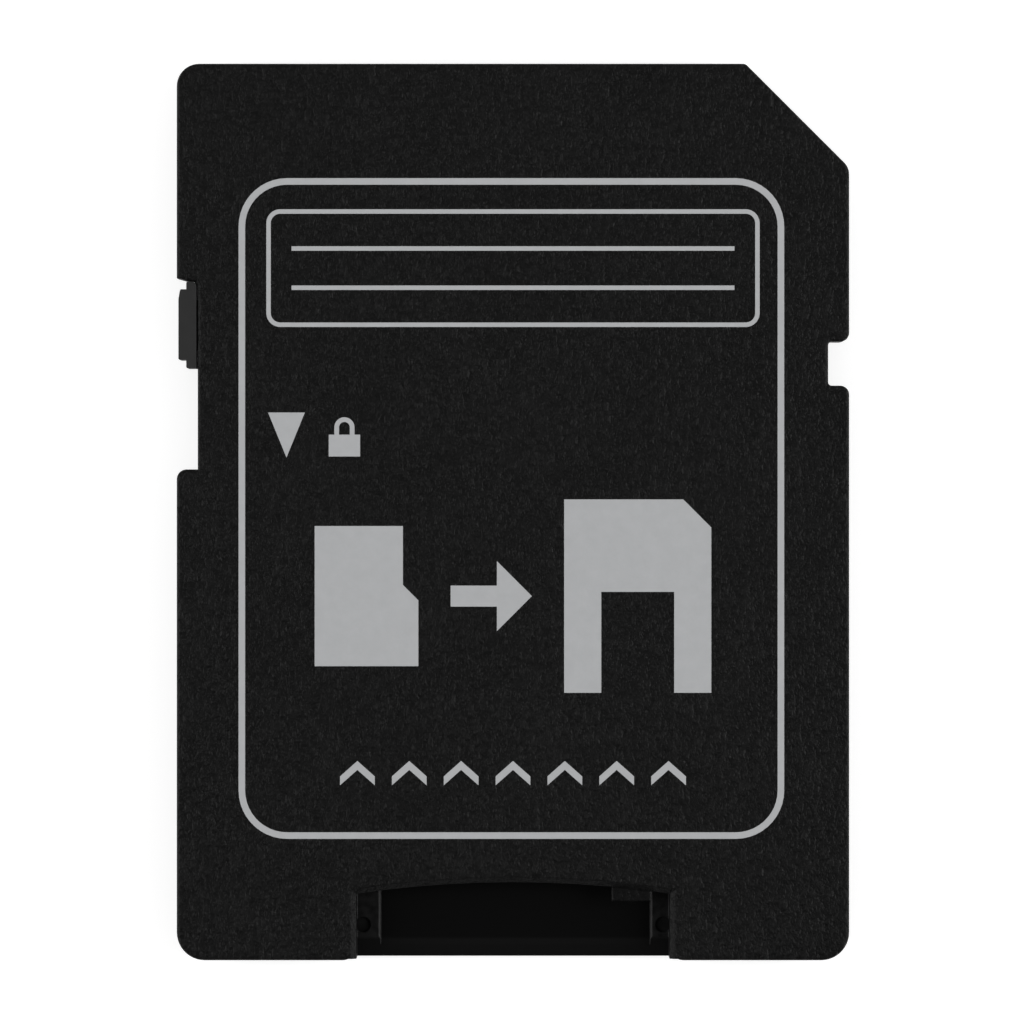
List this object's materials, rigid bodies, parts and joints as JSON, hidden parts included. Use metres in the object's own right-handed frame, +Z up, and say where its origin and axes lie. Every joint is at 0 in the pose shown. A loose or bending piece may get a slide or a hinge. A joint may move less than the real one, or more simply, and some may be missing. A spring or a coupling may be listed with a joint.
{
  "type": "memory card adapter",
  "caption": "Flat full-size card adapter with an empty slot for a small memory card, spring terminals inside, contact pads in the back and a sliding write lock.",
  "frame": {"origin": "under the middle of the flat back, at the bottom centre of the part's box", "axes": "+Y towards the contact end that enters a reader, +X towards the side with the cut corner, +Z up out of the label face"},
  "size_m": [0.024, 0.032, 0.0021],
  "materials": {
    "shell_plastic": "black moulded plastic with a fine spark-eroded grain",
    "slider_plastic": "smooth dark grey moulded plastic",
    "face_ink": "light grey pad-printed ink",
    "contact_plating": "thin gilt plating on a copper alloy",
    "spring_steel": "plain spring steel strip"
  },
  "bodies": {
    "shell": {"base_shell": "shell_plastic", "terminal_block": "shell_plastic", "top_cover": "shell_plastic", "card_spring": "spring_steel", "face_print": "face_ink", "terminal_1": "contact_plating", "terminal_2": "contact_plating", "terminal_3": "contact_plating", "terminal_4": "contact_plating", "terminal_5": "contact_plating", "terminal_6_ground": "contact_plating", "terminal_7": "contact_plating", "terminal_8": "contact_plating"},
    "slider": {"lock_slider": "slider_plastic"}
  },
  "joints": [
    {"name": "lock_slide", "type": "slide", "parent": "shell", "child": "slider", "axis": [0, -1, 0], "range_m": [0, 0.0035]}
  ]
}
